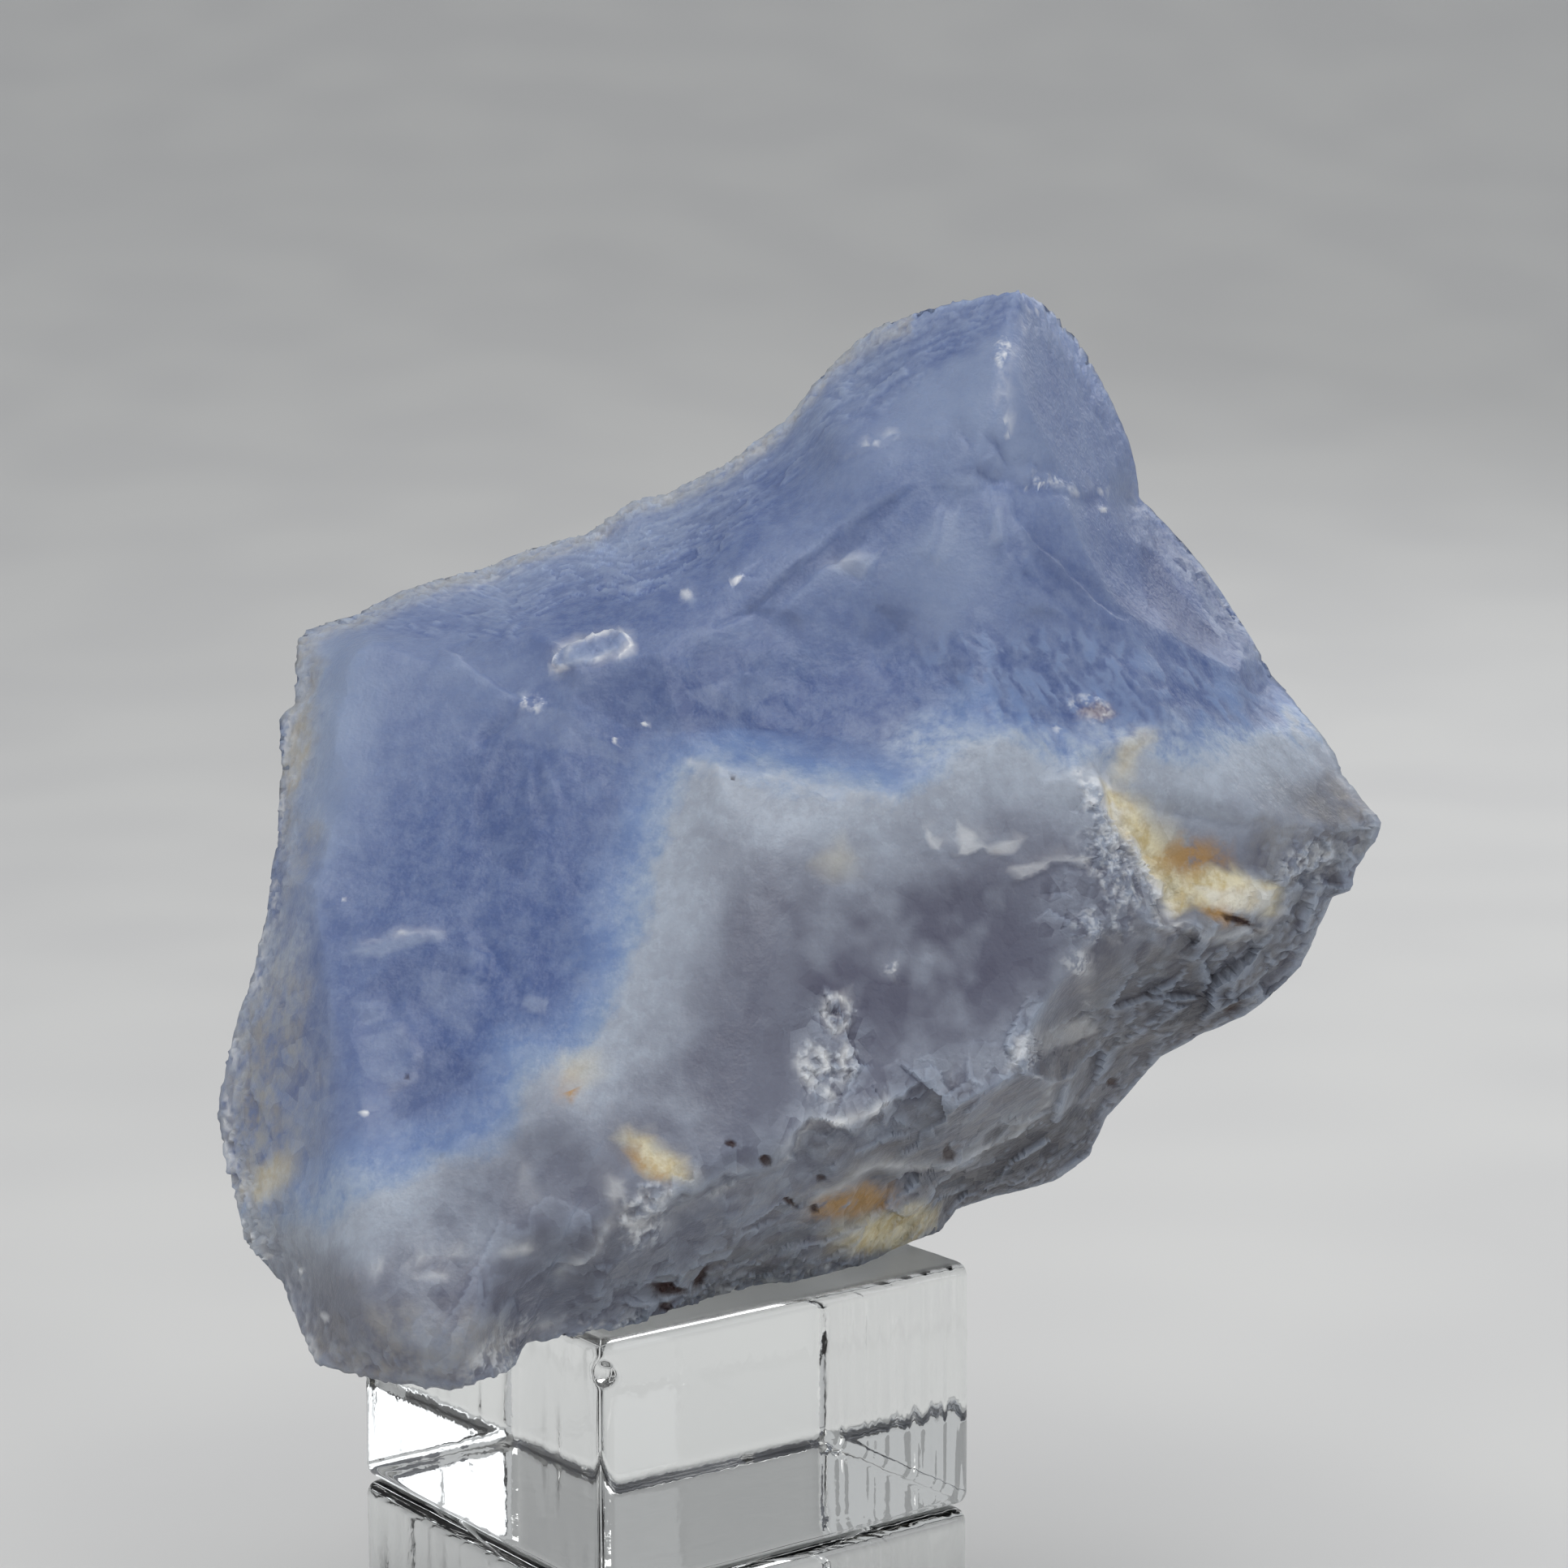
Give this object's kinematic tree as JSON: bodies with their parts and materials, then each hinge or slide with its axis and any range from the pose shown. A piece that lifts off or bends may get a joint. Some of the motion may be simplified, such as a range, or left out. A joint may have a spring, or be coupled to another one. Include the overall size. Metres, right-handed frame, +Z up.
{
  "type": "rough agate on clear display blocks",
  "caption": "Rough broken chunk of translucent blue-grey agate with a stained, crystalline lower edge, standing on a stack of clear square display blocks.",
  "frame": {"origin": "centre of the lower block's underside, on the surface that the stand rests on", "axes": "+Z up; the stone's broken blue face looks along -Y, and its peak leans towards +X"},
  "size_m": [0.0804, 0.0612, 0.105],
  "materials": {
    "agate": "broken, waxy lustre",
    "clear_block": "polished, with small flaws"
  },
  "bodies": {
    "root": {"agate": "agate", "upper_block": "clear_block", "lower_block": "clear_block"}
  },
  "joints": []
}
